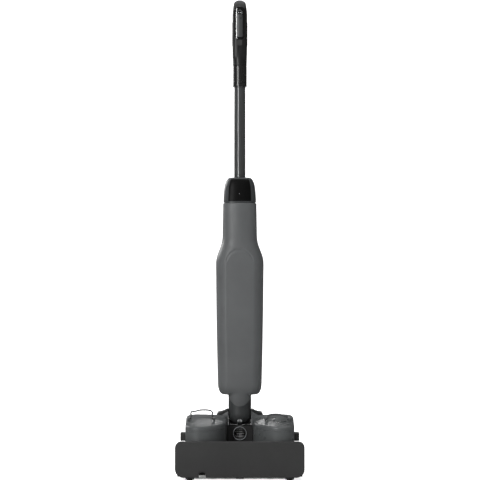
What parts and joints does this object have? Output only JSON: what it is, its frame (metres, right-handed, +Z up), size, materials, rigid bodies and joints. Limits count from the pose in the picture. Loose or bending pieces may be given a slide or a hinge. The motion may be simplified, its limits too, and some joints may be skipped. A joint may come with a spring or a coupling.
{
  "type": "wet dry floor scrubber",
  "caption": "Upright cordless floor scrubber: slim tilting body with loop handle on a wide low head that holds two lift-off tanks and a belt-driven mop roller.",
  "frame": {"origin": "middle of the head's footprint on the floor", "axes": "+Z up, front of the head towards -Y, +X to the right seen from the front"},
  "size_m": [0.3008, 0.248, 1.1426],
  "materials": {
    "charcoal_plastic": "satin moulded shell, fine texture",
    "tank_plastic": "smooth satin tank plastic",
    "cover_plastic": "matt, fine texture",
    "black_plastic": "matt black moulded plastic",
    "gloss_black": "high gloss",
    "neck_plastic": "satin",
    "tube_metal": "satin coated steel tube",
    "satin_grey": "satin grey",
    "rubber": "soft, matt",
    "tyre": "matt tread",
    "microfibre": "dense short pile",
    "steel": "satin",
    "lens": "frosted clear",
    "battery": "shrink wrapped",
    "circuit_board": "solder mask"
  },
  "bodies": {
    "head": {"chassis": "black_plastic", "deck": "charcoal_plastic", "yoke_bracket": "black_plastic", "tilt_pin": "steel", "port_ring": "satin_grey", "corrugated_boot": "rubber", "drive_motor": "steel", "water_pump": "black_plastic", "drive_belt": "rubber", "belt_cover": "black_plastic", "scraper_holder": "black_plastic", "scraper_blade": "rubber", "spray_bar": "satin_grey", "wheel_axles": "steel", "head_screws": "steel", "rear_bumper": "rubber"},
    "front_cover": {"front_cover": "cover_plastic"},
    "guide_roller_left": {"guide_roller_left": "black_plastic"},
    "guide_roller_right": {"guide_roller_right": "black_plastic"},
    "mop_roller": {"roller_core": "black_plastic", "roller_sleeve": "microfibre", "roller_end_caps": "satin_grey", "roller_pulley": "satin_grey"},
    "motor_pulley": {"motor_pulley": "steel"},
    "squeeze_roller": {"squeeze_roller": "steel"},
    "wheel_left": {"wheel_hub_left": "charcoal_plastic", "wheel_tyre_left": "tyre"},
    "wheel_right": {"wheel_hub_right": "charcoal_plastic", "wheel_tyre_right": "tyre"},
    "dirty_tank": {"dirty_tank_shell": "tank_plastic", "dirty_tank_lid": "tank_plastic", "debris_strainer": "black_plastic"},
    "dirty_tank_bail": {"dirty_tank_bail": "black_plastic"},
    "dirty_tank_latch": {"dirty_tank_latch": "cover_plastic"},
    "clean_tank": {"clean_tank_shell": "tank_plastic", "clean_tank_lid": "tank_plastic"},
    "clean_tank_bail": {"clean_tank_bail": "tank_plastic"},
    "clean_tank_latch": {"clean_tank_latch": "cover_plastic"},
    "filler_cap": {"filler_cap": "tank_plastic"},
    "neck": {"neck_shell": "neck_plastic"},
    "neck_button": {"neck_button": "satin_grey"},
    "upper_body": {"neck_bush": "black_plastic", "body_front_shell": "charcoal_plastic", "body_rear_shell": "charcoal_plastic", "charging_jack": "black_plastic", "top_cap": "gloss_black", "display_panel": "gloss_black", "indicator_lenses": "lens", "battery_pack": "battery", "control_board": "circuit_board", "handle_tube": "tube_metal", "handle_collar": "black_plastic", "handle_left_shell": "black_plastic", "handle_right_shell": "black_plastic", "handle_front_trim": "gloss_black", "grip_pad": "rubber"},
    "charging_flap": {"charging_flap": "rubber"},
    "power_button": {"power_button": "satin_grey"},
    "mode_button": {"mode_button": "satin_grey"},
    "handle_release_button": {"handle_release_button": "cover_plastic"}
  },
  "joints": [
    {"name": "front_cover_slide", "type": "slide", "parent": "head", "child": "front_cover", "axis": [0, -1, 0], "range_m": [0, 0.06]},
    {"name": "guide_roller_left_spin", "type": "hinge", "parent": "front_cover", "child": "guide_roller_left", "pos_m": [-0.116, -0.115, 0.007], "axis": [1, 0, 0], "continuous": true},
    {"name": "guide_roller_right_spin", "type": "hinge", "parent": "front_cover", "child": "guide_roller_right", "pos_m": [0.116, -0.115, 0.007], "axis": [1, 0, 0], "continuous": true},
    {"name": "mop_roller_spin", "type": "hinge", "parent": "head", "child": "mop_roller", "pos_m": [0, -0.083, 0.03], "axis": [1, 0, 0], "continuous": true},
    {"name": "motor_pulley_spin", "type": "hinge", "parent": "head", "child": "motor_pulley", "pos_m": [0, -0.006, 0.044], "axis": [1, 0, 0], "continuous": true},
    {"name": "squeeze_roller_spin", "type": "hinge", "parent": "head", "child": "squeeze_roller", "pos_m": [0, -0.05236, 0.05145], "axis": [1, 0, 0], "continuous": true},
    {"name": "wheel_left_spin", "type": "hinge", "parent": "head", "child": "wheel_left", "pos_m": [-0.1115, 0.079, 0.028], "axis": [1, 0, 0], "continuous": true},
    {"name": "wheel_right_spin", "type": "hinge", "parent": "head", "child": "wheel_right", "pos_m": [0.1115, 0.079, 0.028], "axis": [1, 0, 0], "continuous": true},
    {"name": "dirty_tank_lift", "type": "slide", "parent": "head", "child": "dirty_tank", "axis": [0, 0, 1], "range_m": [0, 0.04]},
    {"name": "dirty_tank_bail_swing", "type": "hinge", "parent": "dirty_tank", "child": "dirty_tank_bail", "pos_m": [-0.09, -0.04684, 0.1369], "axis": [1, 0, 0], "range_deg": [-22, 60]},
    {"name": "dirty_tank_latch_press", "type": "slide", "parent": "dirty_tank", "child": "dirty_tank_latch", "axis": [1, 0, 0], "range_m": [0, 0.004], "stiffness_N_per_m": 600},
    {"name": "clean_tank_lift", "type": "slide", "parent": "head", "child": "clean_tank", "axis": [0, 0, 1], "range_m": [0, 0.04]},
    {"name": "clean_tank_bail_swing", "type": "hinge", "parent": "clean_tank", "child": "clean_tank_bail", "pos_m": [0.09, -0.04684, 0.1369], "axis": [1, 0, 0], "range_deg": [0, 82]},
    {"name": "clean_tank_latch_press", "type": "slide", "parent": "clean_tank", "child": "clean_tank_latch", "axis": [-1, 0, 0], "range_m": [0, 0.004], "stiffness_N_per_m": 600},
    {"name": "filler_cap_hinge", "type": "hinge", "parent": "clean_tank", "child": "filler_cap", "pos_m": [0.102, -0.06211, 0.13364], "axis": [-1, 0, 0], "range_deg": [0, 110]},
    {"name": "body_tilt", "type": "hinge", "parent": "head", "child": "neck", "pos_m": [0, 0.015, 0.146], "axis": [-1, 0, 0], "range_deg": [0, 80]},
    {"name": "neck_button_press", "type": "slide", "parent": "neck", "child": "neck_button", "axis": [0, 0.7771, 0.6293], "range_m": [0, 0.0015], "stiffness_N_per_m": 500},
    {"name": "body_swivel", "type": "hinge", "parent": "neck", "child": "upper_body", "pos_m": [0, 0.015, 0.204], "axis": [0, 0, 1], "range_deg": [-45, 45]},
    {"name": "charging_flap_hinge", "type": "hinge", "parent": "upper_body", "child": "charging_flap", "pos_m": [0, 0.0538, 0.2354], "axis": [-1, 0, 0], "range_deg": [0, 110]},
    {"name": "power_button_press", "type": "slide", "parent": "upper_body", "child": "power_button", "axis": [0, 0, -1], "range_m": [0, 0.0012], "stiffness_N_per_m": 800},
    {"name": "mode_button_press", "type": "slide", "parent": "upper_body", "child": "mode_button", "axis": [0, 0, -1], "range_m": [0, 0.0009], "stiffness_N_per_m": 800},
    {"name": "handle_release_press", "type": "slide", "parent": "upper_body", "child": "handle_release_button", "axis": [0, 1, 0], "range_m": [0, 0.0015], "stiffness_N_per_m": 900}
  ],
  "couplings": [
    {"joint": "motor_pulley_spin", "follows": "mop_roller_spin", "ratio": 1.75},
    {"joint": "squeeze_roller_spin", "follows": "mop_roller_spin", "ratio": -4.2857}
  ]
}
